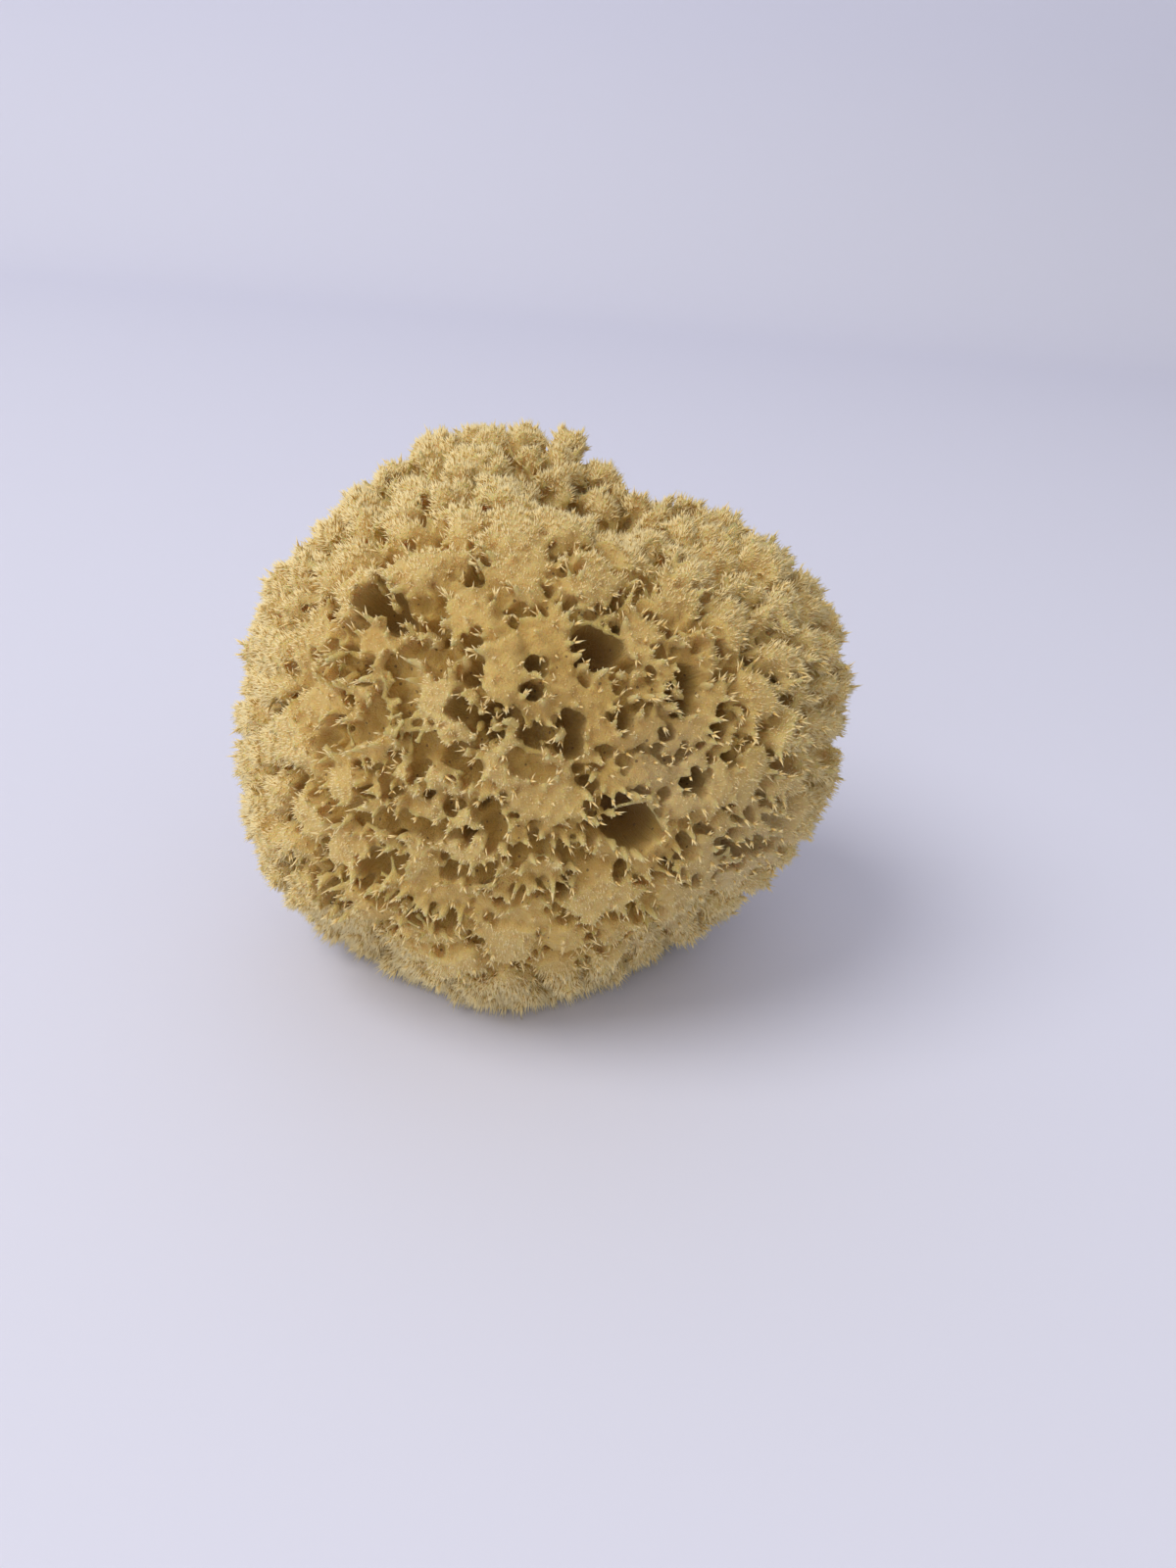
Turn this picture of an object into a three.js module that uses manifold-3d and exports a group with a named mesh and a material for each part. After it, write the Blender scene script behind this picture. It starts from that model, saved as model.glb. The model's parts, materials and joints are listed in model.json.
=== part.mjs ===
// A natural bath sponge: one grown mass of springy skeleton, cut off flat where it was pulled
// from its rock, with deep round pores.
//
// Frame: millimetres, +Z up. The origin is at the centre of the part's box, on the flat cut base.
// The face with the widest pores looks along -Y. The outside is the envelope that the tips of the
// tufts reach.
import * as THREE from "three";
import { mergeVertices } from "three/addons/utils/BufferGeometryUtils.js";
import Module from "manifold-3d";

// Driving dimensions
const WIDTH = 140; // along X, over the tips of the tufts
const DEPTH = 122; // along Y
const HEIGHT = 119; // along Z, from the cut base to the crown
const HEART_HEIGHT = 54; // the point that the sponge grew out from, above the base

// Tessellation
const SKIN_SPLITS = 10; // cuts in each edge of the icosahedron that the skin starts from
const PORE_SIDES = 10;

// The mass is a blend of round lobes. Each is an ellipsoid that holds the heart: where its middle
// lies from the heart, and its half sizes along X, Y and Z.
const LOBES = [
  { name: "belly", at: [0, -2, 0], half: [62, 56, 57] },
  { name: "crown", at: [-11, 22, 21], half: [37, 36, 43] },
  { name: "brow", at: [-13, -13, 15], half: [44, 40, 43] },
  { name: "right shoulder", at: [31, 1, 7], half: [41, 46, 44] },
  { name: "left shoulder", at: [-27, 2, 11], half: [39, 46, 42] },
  { name: "left cheek", at: [-26, -6, -14], half: [44, 48, 44] },
  { name: "right cheek", at: [22, -5, -13], half: [43, 46, 43] },
  { name: "chin", at: [-4, -14, -18], half: [46, 41, 42] },
  { name: "back", at: [6, 17, -13], half: [49, 43, 46] },
];
const BLEND = 14; // how sharply the lobes meet: higher is a deeper crease

// Hollows between lobes: towards which side, how wide as an angle, and how deep.
const CREASES = [
  { name: "notch beside the crown", turn: 84, tilt: 77, spread: 12, depth: 13 },
  { name: "saddle in front of the crown", turn: 170, tilt: 86, spread: 13, depth: 7 },
  { name: "tuck under the left cheek", turn: -42, tilt: -37, spread: 14, depth: 8 },
  { name: "flat under the right cheek", turn: 46, tilt: -33, spread: 20, depth: 8.5 },
];

const RIPPLE = 1.3; // height of the low swellings all over the skin

// The wide pores of the front face, by where they open from the heart: turn to the right of -Y and
// tilt above the level, in degrees, then the pore's radius and depth.
const FRONT_PORES = [
  { turn: 19, tilt: 7, radius: 6.4, depth: 26 },
  { turn: 11, tilt: 41, radius: 5.2, depth: 20 },
  { turn: -39, tilt: 39, radius: 5.0, depth: 22 },
  { turn: 31, tilt: 33, radius: 4.2, depth: 20 },
  { turn: 38, tilt: 25, radius: 3.4, depth: 15 },
  { turn: -38, tilt: 28, radius: 4.2, depth: 12 },
  { turn: -15, tilt: 17, radius: 3.8, depth: 9 },
  { turn: 5, tilt: 26, radius: 3.9, depth: 12 },
  { turn: -10, tilt: 25, radius: 3.2, depth: 16 },
  { turn: 52, tilt: 14, radius: 3.6, depth: 13 },
  { turn: 33, tilt: 14, radius: 3.2, depth: 12 },
  { turn: -27, tilt: 25, radius: 4.4, depth: 7 },
  { turn: -23, tilt: 34, radius: 4.6, depth: 7 },
  { turn: 18, tilt: 50, radius: 3.4, depth: 9 },
  { turn: 10, tilt: 12, radius: 3.2, depth: 9 },
  { turn: 58, tilt: 29, radius: 3.6, depth: 9 },
  { turn: 61, tilt: 45, radius: 3.2, depth: 9 },
  { turn: 5, tilt: -7, radius: 3.2, depth: 10 },
  { turn: -38, tilt: -13, radius: 5.0, depth: 12 },
  { turn: -23, tilt: -13, radius: 4.6, depth: 9 },
];

// The pores of the sides, the back and the crown follow a golden spiral round the mass.
const HIDDEN_PORES = { count: 46, radius: [3.2, 5.6], depth: [9, 22] };
const FRONT_VIEW_TILT = 25; // the front pores above are the ones seen from this far above the level
const FRONT_VIEW_HALF_ANGLE = 66;

// Canal mouths in the flat cut base: across, forward, radius and depth.
const BASE_CANALS = [
  { at: [6, 4], radius: 5.2, depth: 18 },
  { at: [-17, 9], radius: 3.6, depth: 12 },
  { at: [-7, -16], radius: 4.2, depth: 14 },
  { at: [21, -10], radius: 3.2, depth: 11 },
];

const PROUD = 4; // how far a pore's cutter stands out of the skin
const FLARE = 1.18; // a pore's mouth against its throat

const rad = THREE.MathUtils.degToRad;
const heart = new THREE.Vector3(0, 0, HEART_HEIGHT);

// The direction that looks out at `turn` degrees to the right of -Y and `tilt` above the level.
function outward(turn, tilt) {
  return new THREE.Vector3(
    Math.sin(rad(turn)) * Math.cos(rad(tilt)),
    -Math.cos(rad(turn)) * Math.cos(rad(tilt)),
    Math.sin(rad(tilt)),
  );
}

// How far a lobe reaches from the heart in a direction: the far root of ray against ellipsoid.
function lobeReach(lobe, direction) {
  const d = direction.clone().divide(new THREE.Vector3(...lobe.half));
  const m = new THREE.Vector3(...lobe.at).divide(new THREE.Vector3(...lobe.half));
  const a = d.lengthSq();
  const b = d.dot(m);
  const c = m.lengthSq() - 1;
  return (b + Math.sqrt(b * b - a * c)) / a;
}

// Low swellings, a few centimetres apart.
function ripple(direction) {
  const { x, y, z } = direction;
  return (
    RIPPLE *
    (Math.sin(9 * x + 4 * z + 0.7) * Math.cos(8 * y - 3 * x) +
      0.6 * Math.sin(13 * z - 7 * y + 2.1) * Math.cos(11 * x + 1.3))
  );
}

// How far the skin lies from the heart in a direction.
function reach(direction) {
  const sum = LOBES.reduce((total, lobe) => total + lobeReach(lobe, direction) ** BLEND, 0);
  const creased = CREASES.reduce((total, { turn, tilt, spread, depth }) => {
    const angle = THREE.MathUtils.radToDeg(direction.angleTo(outward(turn, tilt)));
    return total + depth * Math.exp(-((angle / spread) ** 2));
  }, 0);
  return (sum / 1.6) ** (1 / BLEND) - creased + ripple(direction);
}

// Positions only, with shared vertices merged, ready for a boolean.
function bare(geometry) {
  const positions = geometry.clone();
  positions.deleteAttribute("normal");
  positions.deleteAttribute("uv");
  return mergeVertices(positions, 1e-4);
}

function solidFrom(wasm, geometry) {
  const merged = bare(geometry);
  return new wasm.Manifold(
    new wasm.Mesh({
      numProp: 3,
      vertProperties: new Float32Array(merged.attributes.position.array),
      triVerts: new Uint32Array(merged.index.array),
    }),
  );
}

function geometryFrom(solid) {
  const mesh = solid.getMesh();
  const geometry = new THREE.BufferGeometry();
  geometry.setAttribute("position", new THREE.BufferAttribute(mesh.vertProperties, 3));
  geometry.setIndex(new THREE.BufferAttribute(mesh.triVerts, 1));
  return geometry;
}

// The whole mass, before the base is cut off and the pores are opened.
function massGeometry() {
  const geometry = bare(new THREE.IcosahedronGeometry(1, SKIN_SPLITS));
  const position = geometry.attributes.position;
  for (let i = 0; i < position.count; i++) {
    const direction = new THREE.Vector3().fromBufferAttribute(position, i).normalize();
    const point = direction.clone().multiplyScalar(reach(direction)).add(heart);
    position.setXYZ(i, point.x, point.y, point.z);
  }
  return geometry;
}

// A round-bottomed pit, its mouth at the local origin and its depth along -Y.
function poreGeometry(radius, depth) {
  const profile = [
    [0, PROUD],
    [radius * FLARE, PROUD],
    [radius, -0.1 * depth],
    [radius * 0.9, -0.45 * depth],
    [radius * 1.02, -0.7 * depth],
    [radius * 0.62, -0.93 * depth],
    [0, -depth],
  ].map(([r, y]) => new THREE.Vector2(r, y));
  return new THREE.LatheGeometry(profile.reverse(), PORE_SIDES);
}

function placedPore(mouth, direction, radius, depth) {
  const up = new THREE.Vector3(0, 1, 0);
  const turn = new THREE.Quaternion().setFromUnitVectors(up, direction);
  const place = new THREE.Matrix4().compose(mouth, turn, new THREE.Vector3(1, 1, 1));
  return poreGeometry(radius, depth).applyMatrix4(place);
}

function skinPore({ direction, radius, depth }) {
  const mouth = direction.clone().multiplyScalar(reach(direction)).add(heart);
  return placedPore(mouth, direction, radius, depth);
}

function baseCanal({ at: [x, y], radius, depth }) {
  return placedPore(new THREE.Vector3(x, y, 0), new THREE.Vector3(0, 0, -1), radius, depth);
}

// Points of a golden spiral, less those that the front face's own pores already cover.
function hiddenPores() {
  const { count, radius, depth } = HIDDEN_PORES;
  const goldenTurn = 137.508;
  const front = outward(0, FRONT_VIEW_TILT);
  return Array.from({ length: count }, (_, i) => {
    const share = (i * 0.618) % 1; // scatters the sizes
    const tilt = THREE.MathUtils.radToDeg(Math.asin(1 - (1.66 * (i + 0.5)) / count));
    return {
      direction: outward(i * goldenTurn, tilt),
      radius: THREE.MathUtils.lerp(...radius, share * share),
      depth: THREE.MathUtils.lerp(...depth, (share * 5) % 1),
    };
  }).filter(({ direction }) => direction.angleTo(front) > rad(FRONT_VIEW_HALF_ANGLE));
}

function cutterBelowBase() {
  const size = 3 * WIDTH;
  return new THREE.BoxGeometry(size, size, size).translate(0, 0, -size / 2);
}

// Stretches the mass to its driving sizes and puts the middle of its box over the origin.
function fitToSize(geometry) {
  geometry.computeBoundingBox();
  const { min, max } = geometry.boundingBox;
  const middle = min.clone().add(max).multiplyScalar(0.5);
  geometry.translate(-middle.x, -middle.y, 0);
  geometry.scale(WIDTH / (max.x - min.x), DEPTH / (max.y - min.y), HEIGHT / max.z);
  return geometry;
}

async function spongeGeometry() {
  const wasm = await Module();
  wasm.setup();
  const front = FRONT_PORES.map(({ turn, tilt, radius, depth }) => ({
    direction: outward(turn, tilt),
    radius,
    depth,
  }));
  const cutters = [
    cutterBelowBase(),
    ...[...front, ...hiddenPores()].map(skinPore),
    ...BASE_CANALS.map(baseCanal),
  ];
  const whole = solidFrom(wasm, massGeometry());
  const cut = cutters.reduce((solid, cutter) => solid.subtract(solidFrom(wasm, cutter)), whole);
  return fitToSize(geometryFrom(cut));
}

const spongeMaterial = new THREE.MeshStandardMaterial({
  color: new THREE.Color(0.78, 0.65, 0.4),
  roughness: 0.95,
  metalness: 0,
});

const sponge = new THREE.Mesh(await spongeGeometry(), spongeMaterial);
sponge.name = "sponge";

const part = new THREE.Group();
part.add(sponge);

export default part;
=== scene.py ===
import itertools
import json
import math

import bpy
import numpy as np
from mathutils import Matrix, Vector
from mathutils.bvhtree import BVHTree
from mathutils.kdtree import KDTree

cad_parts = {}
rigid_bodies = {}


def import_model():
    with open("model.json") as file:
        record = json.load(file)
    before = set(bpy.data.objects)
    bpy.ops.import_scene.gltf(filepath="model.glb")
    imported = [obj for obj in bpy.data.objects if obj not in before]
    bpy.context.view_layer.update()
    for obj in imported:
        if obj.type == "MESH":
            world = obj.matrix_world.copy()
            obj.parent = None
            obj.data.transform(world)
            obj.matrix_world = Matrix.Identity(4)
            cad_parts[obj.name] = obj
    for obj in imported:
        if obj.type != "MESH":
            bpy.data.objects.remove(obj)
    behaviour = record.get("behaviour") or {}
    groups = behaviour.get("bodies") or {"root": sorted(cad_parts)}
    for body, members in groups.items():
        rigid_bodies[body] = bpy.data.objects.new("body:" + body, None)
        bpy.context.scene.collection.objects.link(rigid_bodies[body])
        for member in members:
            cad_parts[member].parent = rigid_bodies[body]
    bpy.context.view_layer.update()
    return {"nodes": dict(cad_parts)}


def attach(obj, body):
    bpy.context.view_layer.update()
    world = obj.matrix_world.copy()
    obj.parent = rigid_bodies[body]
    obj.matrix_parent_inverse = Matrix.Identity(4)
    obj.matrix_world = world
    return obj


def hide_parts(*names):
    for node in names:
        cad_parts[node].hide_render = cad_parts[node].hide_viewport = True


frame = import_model()

# ------------------------------------------------------------------ sizes, in metres
MM = 0.001
HEART = np.array([0.0, 0.0, 0.054])  # the point that the sponge grew out from
SPINE_ROOM = 1.7 * MM  # what the spines need between the skin and the tips
TUFT_PITCH = (7.8 * MM, 10.6 * MM)  # least room between tufts: round the sides, and on the broad face
VOXEL = 0.43 * MM  # grain of the carved skin
SKIN_FACES = 388000  # triangles, shared between the front and the back of the skin
CLAWS = 13000  # pale tips, before those with no foot on the skin are left out
NAP = 48000  # bristles in each of the two layers of nap
TURN = 6.28  # a whole turn in radians, for spins that are drawn at random
rng = np.random.default_rng(41)


# ------------------------------------------------------------------ bench tools
def only(ob):
    """Selects one piece alone."""
    bpy.ops.object.select_all(action="DESELECT")
    ob.select_set(True)
    bpy.context.view_layer.objects.active = ob


def apply(ob, kind, **settings):
    """Adds a modifier to a piece and applies it at once."""
    only(ob)
    modifier = ob.modifiers.new(kind.lower(), kind)
    for key, value in settings.items():
        setattr(modifier, key, value)
    bpy.ops.object.modifier_apply(modifier=modifier.name)


def discard(ob):
    mesh = ob.data
    bpy.data.objects.remove(ob)
    bpy.data.meshes.remove(mesh)


def coords(ob):
    co = np.empty(len(ob.data.vertices) * 3, np.float32)
    ob.data.vertices.foreach_get("co", co)
    return co.reshape(-1, 3).astype(np.float64)


def normals(ob):
    no = np.empty(len(ob.data.vertices) * 3, np.float32)
    ob.data.vertices.foreach_get("normal", no)
    return no.reshape(-1, 3).astype(np.float64)


def put(ob, co):
    ob.data.vertices.foreach_set("co", co.astype(np.float32).ravel())
    ob.data.update()


def unit(v):
    return v / np.maximum(np.linalg.norm(v, axis=-1, keepdims=True), 1e-12)


def triangles(ob):
    mesh = ob.data
    mesh.calc_loop_triangles()
    tri = np.empty(len(mesh.loop_triangles) * 3, np.int32)
    mesh.loop_triangles.foreach_get("vertices", tri)
    return tri.reshape(-1, 3)


def scatter(co, no, tri, count, weight=None):
    """Random points all over a surface, with the surface's normals there."""
    a, b, c = co[tri[:, 0]], co[tri[:, 1]], co[tri[:, 2]]
    area = np.linalg.norm(np.cross(b - a, c - a), axis=1)
    if weight is not None:
        area = area * weight[tri].mean(1)
    pick = rng.choice(len(tri), count, p=area / area.sum())
    u, v = rng.random(count), rng.random(count)
    flip = u + v > 1
    u[flip], v[flip] = 1 - u[flip], 1 - v[flip]
    w = 1 - u - v

    def between(f):
        return f[tri[pick, 0]] * w[:, None] + f[tri[pick, 1]] * u[:, None] + f[tri[pick, 2]] * v[:, None]

    return between(co), unit(between(no))


def spaced(points, gap):
    """Picks points that keep a gap from each other, first come first served."""
    gap = np.broadcast_to(gap, len(points)) ** 2
    kept = []
    places = np.empty((len(points), 3))
    for i, p in enumerate(points):
        near = places[: len(kept)] - p
        if len(kept) and (near * near).sum(1).min() < gap[i]:
            continue
        places[len(kept)] = p
        kept.append(i)
    return np.array(kept)


def keep_one_piece(ob):
    """Deletes every crumb that isn't joined to the body, which a look out from the heart finds."""
    only(ob)
    bpy.context.view_layer.update()
    for course in ((0, 0, -1), (0, 1, 0), (1, 0, 0), (0, 0, 1), (-1, 0, 0)):
        met, _, _, face = ob.ray_cast(Vector(HEART), Vector(course))
        if not met:
            continue
        ob.data.vertices.foreach_set("select", np.zeros(len(ob.data.vertices), bool))
        ob.data.vertices[ob.data.polygons[face].vertices[0]].select = True
        bpy.ops.object.mode_set(mode="EDIT")
        bpy.ops.mesh.select_mode(type="VERT")
        bpy.ops.mesh.select_linked()
        bpy.ops.object.mode_set(mode="OBJECT")
        if ob.data.count_selected_items()[0] > len(ob.data.vertices) / 2:
            break
    bpy.ops.object.mode_set(mode="EDIT")
    bpy.ops.mesh.select_all(action="INVERT")
    bpy.ops.mesh.delete(type="VERT")
    bpy.ops.object.mode_set(mode="OBJECT")


def side_of(axis, spin):
    """Two directions square to each axis, turned round it by spin."""
    helper = np.where(np.abs(axis[:, 2:3]) < 0.9, [[0.0, 0.0, 1.0]], [[1.0, 0.0, 0.0]])
    x = unit(np.cross(helper, axis))
    y = np.cross(axis, x)
    c, s = np.cos(spin)[:, None], np.sin(spin)[:, None]
    return x * c + y * s, y * c - x * s


def copies(name, pattern, at, axis, spin, wide, tall, lean=None, bow=None):
    """One mesh of many copies of a pattern piece, which stands on the origin along Z and is 1 tall.
    Returns it with each vertex's height in the pattern. A copy bends over along lean by bow."""
    shape = coords(pattern)
    faces = [tuple(p.vertices) for p in pattern.data.polygons]
    x, y = side_of(axis, spin)
    sx, sy, sz = shape[:, 0], shape[:, 1], shape[:, 2]
    co = (
        at[:, None, :]
        + x[:, None, :] * (sx[None, :] * wide[:, None])[..., None]
        + y[:, None, :] * (sy[None, :] * wide[:, None])[..., None]
        + axis[:, None, :] * (sz[None, :] * tall[:, None])[..., None]
    )
    if lean is not None:
        co += lean[:, None, :] * ((np.maximum(sz, 0) ** 2)[None, :] * bow[:, None])[..., None]
    count, size = len(at), len(shape)
    loops = np.concatenate([np.array(f) for f in faces])
    lengths = np.array([len(f) for f in faces])
    starts = np.concatenate([[0], np.cumsum(lengths)[:-1]])
    all_loops = (loops[None, :] + (np.arange(count) * size)[:, None]).ravel()
    all_starts = (starts[None, :] + (np.arange(count) * len(loops))[:, None]).ravel()
    mesh = bpy.data.meshes.new(name)
    mesh.vertices.add(count * size)
    mesh.vertices.foreach_set("co", co.astype(np.float32).ravel())
    mesh.loops.add(len(all_loops))
    mesh.loops.foreach_set("vertex_index", all_loops.astype(np.int32))
    mesh.polygons.add(len(all_starts))
    mesh.polygons.foreach_set("loop_start", all_starts.astype(np.int32))
    mesh.update(calc_edges=True)
    mesh.validate()
    ob = bpy.data.objects.new(name, mesh)
    bpy.context.collection.objects.link(ob)
    return ob, np.tile(sz, count)


def paint(ob, name, values):
    """Keeps a value at each vertex, for the finish to read."""
    layer = ob.data.attributes.new(name, "FLOAT", "POINT")
    layer.data.foreach_set("value", values.astype(np.float32))


def outward(turn, tilt):
    """The direction that looks out at turn degrees to the right of -Y and tilt above the level."""
    turn, tilt = np.radians(turn), np.radians(tilt)
    return np.stack([np.sin(turn) * np.cos(tilt), -np.cos(turn) * np.cos(tilt), np.sin(tilt)], -1)


# ------------------------------------------------------------------ the mass, before its pores open
WALL_FACING = 0.42  # faces that look less straight out from the heart than this are pore walls
MOUTH_STEPS = 250  # rounds of evening out that close a pore's mouth


def outer_shell():
    """The outside of the CAD solid alone: a copy without the walls and floors of its pores."""
    node = frame["nodes"]["sponge"]
    shell = node.copy()
    shell.data = node.data.copy()
    bpy.context.collection.objects.link(shell)
    shell.parent = None
    only(shell)
    bpy.ops.object.mode_set(mode="EDIT")
    bpy.ops.mesh.select_all(action="SELECT")
    bpy.ops.mesh.remove_doubles(threshold=1e-5)
    bpy.ops.mesh.select_mode(type="FACE")
    bpy.ops.mesh.select_all(action="DESELECT")
    bpy.ops.object.mode_set(mode="OBJECT")
    centre = np.empty(len(shell.data.polygons) * 3, np.float32)
    shell.data.polygons.foreach_get("center", centre)
    normal = np.empty(len(shell.data.polygons) * 3, np.float32)
    shell.data.polygons.foreach_get("normal", normal)
    facing = (unit(centre.reshape(-1, 3) - HEART) * normal.reshape(-1, 3)).sum(1)
    shell.data.polygons.foreach_set("select", facing < WALL_FACING)
    bpy.ops.object.mode_set(mode="EDIT")
    bpy.ops.mesh.delete(type="FACE")
    bpy.ops.object.mode_set(mode="OBJECT")
    keep_one_piece(shell)
    return shell


def smooth_mass():
    """A ball blown up to the CAD solid's outside, even over its pores, then drawn in to leave room for
    the spines."""
    shell = outer_shell()
    tree = BVHTree.FromPolygons(coords(shell).tolist(), triangles(shell).tolist())
    discard(shell)
    bpy.ops.object.select_all(action="DESELECT")
    bpy.ops.mesh.primitive_ico_sphere_add(subdivisions=7, radius=1)
    ball = bpy.context.object
    ball.name = "mass"
    course = unit(coords(ball))
    hits = [tree.ray_cast(Vector(HEART), Vector(d))[3] for d in course]
    reach = np.array([np.nan if far is None else far for far in hits])
    ends = np.empty(len(ball.data.edges) * 2, np.int32)
    ball.data.edges.foreach_get("vertices", ends)
    a, b = ends.reshape(-1, 2).T
    open_mouth = np.isnan(reach)
    reach[open_mouth] = np.nanmean(reach)
    around = np.bincount(a, minlength=len(reach)) + np.bincount(b, minlength=len(reach))
    for _ in range(MOUTH_STEPS):
        beside = np.bincount(a, reach[b], len(reach)) + np.bincount(b, reach[a], len(reach))
        reach[open_mouth] = (beside / around)[open_mouth]
    put(ball, HEART + course * reach[:, None])
    apply(ball, "SMOOTH", factor=0.5, iterations=10)
    co = coords(ball)
    low = np.clip(1 - co[:, 2] / (10 * MM), 0, 1)
    put(ball, co - normals(ball) * SPINE_ROOM * (1 - 0.9 * low)[:, None])
    return ball


mass = smooth_mass()
mass_co, mass_no, mass_tri = coords(mass), normals(mass), triangles(mass)
mass_tree = BVHTree.FromPolygons(mass_co.tolist(), mass_tri.tolist())


def on_mass(direction):
    """Where a line from the heart leaves the mass, and the surface's normal there."""
    spots, squares = [], []
    for d in direction:
        hit, normal, _, _ = mass_tree.ray_cast(Vector(HEART), Vector(d))
        spots.append(hit)
        squares.append(normal)
    return np.array(spots, float), np.array(squares, float)


def grown(points, square):
    """Pores and spines stand between square to the skin and straight out from the heart."""
    return unit(0.55 * square + 0.45 * unit(points - HEART))


# ------------------------------------------------------------------ where the pores open
# Round pores of the broad face: turn to the right of -Y and tilt above the level in degrees, then
# radius and depth in mm. The widest comes first, with the side mouths that open into it.
ROUND_PORES = [
    (19, 7, 5.4, 24), (16, 12, 2.1, 13), (21, 13, 1.5, 10), (11, 6, 1.7, 11), (13, 41, 4.9, 20),
    (-39, 40, 4.1, 22), (-33, 38, 2.6, 16), (32, 33, 3.3, 15), (30, 29, 2.6, 20), (27, 31, 1.5, 14),
    (-41, 18, 1.8, 12), (-37, 28, 2.5, 13), (-16, 18, 3.2, 8), (-13, 16, 2.7, 7), (-9, 27, 2.1, 15),
    (-12, 25, 1.9, 15), (-9, 23, 1.7, 14), (6, 27, 2.9, 12), (6, 23, 2.7, 12), (-1, 24, 2.9, 8),
    (53, 13, 2.6, 12), (50, 14, 2.5, 9), (32, 14, 2.5, 14), (39, 26, 2.2, 15), (37, 23, 2.3, 15),
    (6, -7, 2.3, 9), (-38, -15, 4.4, 12), (-13, 4, 1.8, 13), (-11, 9, 1.2, 10), (10, 15, 1.7, 10),
    (11, 11, 2.2, 10), (-25, 0, 1.3, 9), (-16, 27, 2.6, 8), (-13, 26, 1.2, 12), (-25, 40, 1.9, 8),
    (-23, 38, 1.5, 13), (-14, 35, 1.5, 8), (-2, 32, 2.0, 9), (-21, 53, 1.8, 8), (6, 55, 2.0, 4),
    (-11, 47, 1.9, 3.5), (-43, 34, 1.6, 6), (17, 28, 2.2, 9), (21, 30, 1.5, 6), (17, 25, 1.1, 9),
    (19, 37, 1.7, 10), (20, 46, 1.3, 10), (25, 51, 1.4, 9), (48, 62, 1.4, 9), (50, 57, 1.8, 5),
    (45, 48, 1.4, 8), (37, 39, 1.5, 5), (60, 45, 1.7, 9), (68, 42, 1.6, 9), (64, 30, 1.4, 8),
    (66, 26, 1.6, 7), (58, 27, 1.3, 8), (60, 22, 1.1, 8), (78, 21, 1.4, 10), (42, 20, 1.1, 10),
    (39, 17, 1.6, 8), (71, 7, 2.4, 6), (49, 6, 1.6, 13), (43, -5, 1.7, 12), (29, -4, 1.3, 12),
    (33, -8, 1.6, 9), (24, -4, 1.7, 8), (30, 1, 2.5, 9), (17, -3, 1.8, 7), (21, -13, 1.7, 10),
    (24, -16, 1.9, 8), (39, -20, 1.3, 9), (-6, -11, 1.6, 8), (-24, -11, 1.6, 12), (-27, 9, 1.5, 6),
    (54, 19, 1.3, 10), (-32, 8, 1.8, 6),
]
# Smooth-floored valleys: the places that each runs through, then its half width and depth in mm.
VALLEYS = [
    ([(-30, 30), (-28, 26), (-25, 23), (-22, 20)], 3.5, 5.5), ([(-31, 22), (-27, 23)], 3.0, 5),
    ([(-23, 18), (-22, 13)], 1.8, 5.5), ([(-28, 34), (-20, 35), (-21, 33)], 2.1, 4.5),
    ([(-32, 20), (-38, 16), (-42, 14)], 2.8, 5), ([(-36, 29), (-44, 26)], 2.3, 6),
    ([(5, 48), (9, 45), (14, 45)], 2.1, 5), ([(-8, 10), (-7, 4)], 2.7, 6.5),
    ([(-32, 3), (-25, 4), (-18, 4)], 2.5, 5.5), ([(-37, 3), (-41, 5)], 2.3, 5),
    ([(-29, -6), (-26, -4)], 3.4, 8), ([(-15, -4), (-9, -4)], 3.0, 6.5),
    ([(-21, -14), (-16, -16)], 3.0, 8),
    ([(-3, 1), (1, 3)], 2.3, 6), ([(7, 1), (9, 2)], 2.5, 7), ([(-2, -8), (3, -7)], 1.9, 6),
    ([(27, 39), (33, 37)], 1.9, 4), ([(44, 5), (40, 3), (37, 0)], 1.5, 6),
    ([(38, -1), (52, -3)], 2.0, 7),
    ([(49, 3), (53, 0)], 1.8, 6), ([(-4, 20), (1, 18)], 2.5, 3.5),
]


def spots_of(rows):
    """The place, axis, radius and depth in metres of pores listed as turn, tilt, radius and depth."""
    turn, tilt, radius, depth = np.array(rows, float).T
    spots, squares = on_mass(outward(turn, tilt))
    with_floor = np.minimum(depth, 4 + 0.45 * depth)  # the deep ones are kept to where a floor shows
    return spots, grown(spots, squares), radius * 1.06 * MM, with_floor * MM


def gather(*groups):
    """Joins groups of pores, each given as its arrays, into one."""
    return [np.concatenate(parts) for parts in zip(*groups)]


def along(route, half_width, depth):
    """Rows of round scoops, each lapping the next, that make one valley."""
    rows = [(*route[0], half_width, depth)]
    for (turn_a, tilt_a), (turn_b, tilt_b) in zip(route, route[1:]):
        steps = math.ceil(math.hypot(turn_b - turn_a, tilt_b - tilt_a) / half_width)
        for k in range(1, steps + 1):
            turn, tilt = turn_a + (turn_b - turn_a) * k / steps, tilt_a + (tilt_b - tilt_a) * k / steps
            rows.append((turn, tilt, half_width * (0.86 if k % 2 else 1), depth * (0.9 if k % 2 else 1)))
    return rows


named = gather(spots_of(ROUND_PORES), spots_of([row for valley in VALLEYS for row in along(*valley)]))
FACE = outward(np.array(0.0), np.array(25.0))  # where the broad face looks
FACE_MIDDLE = outward(np.array(-2.0), np.array(13.0))  # the middle of its wide pores
HIDDEN = math.cos(math.radians(62))  # beyond this turn from FACE, the sides and the back begin


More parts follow.
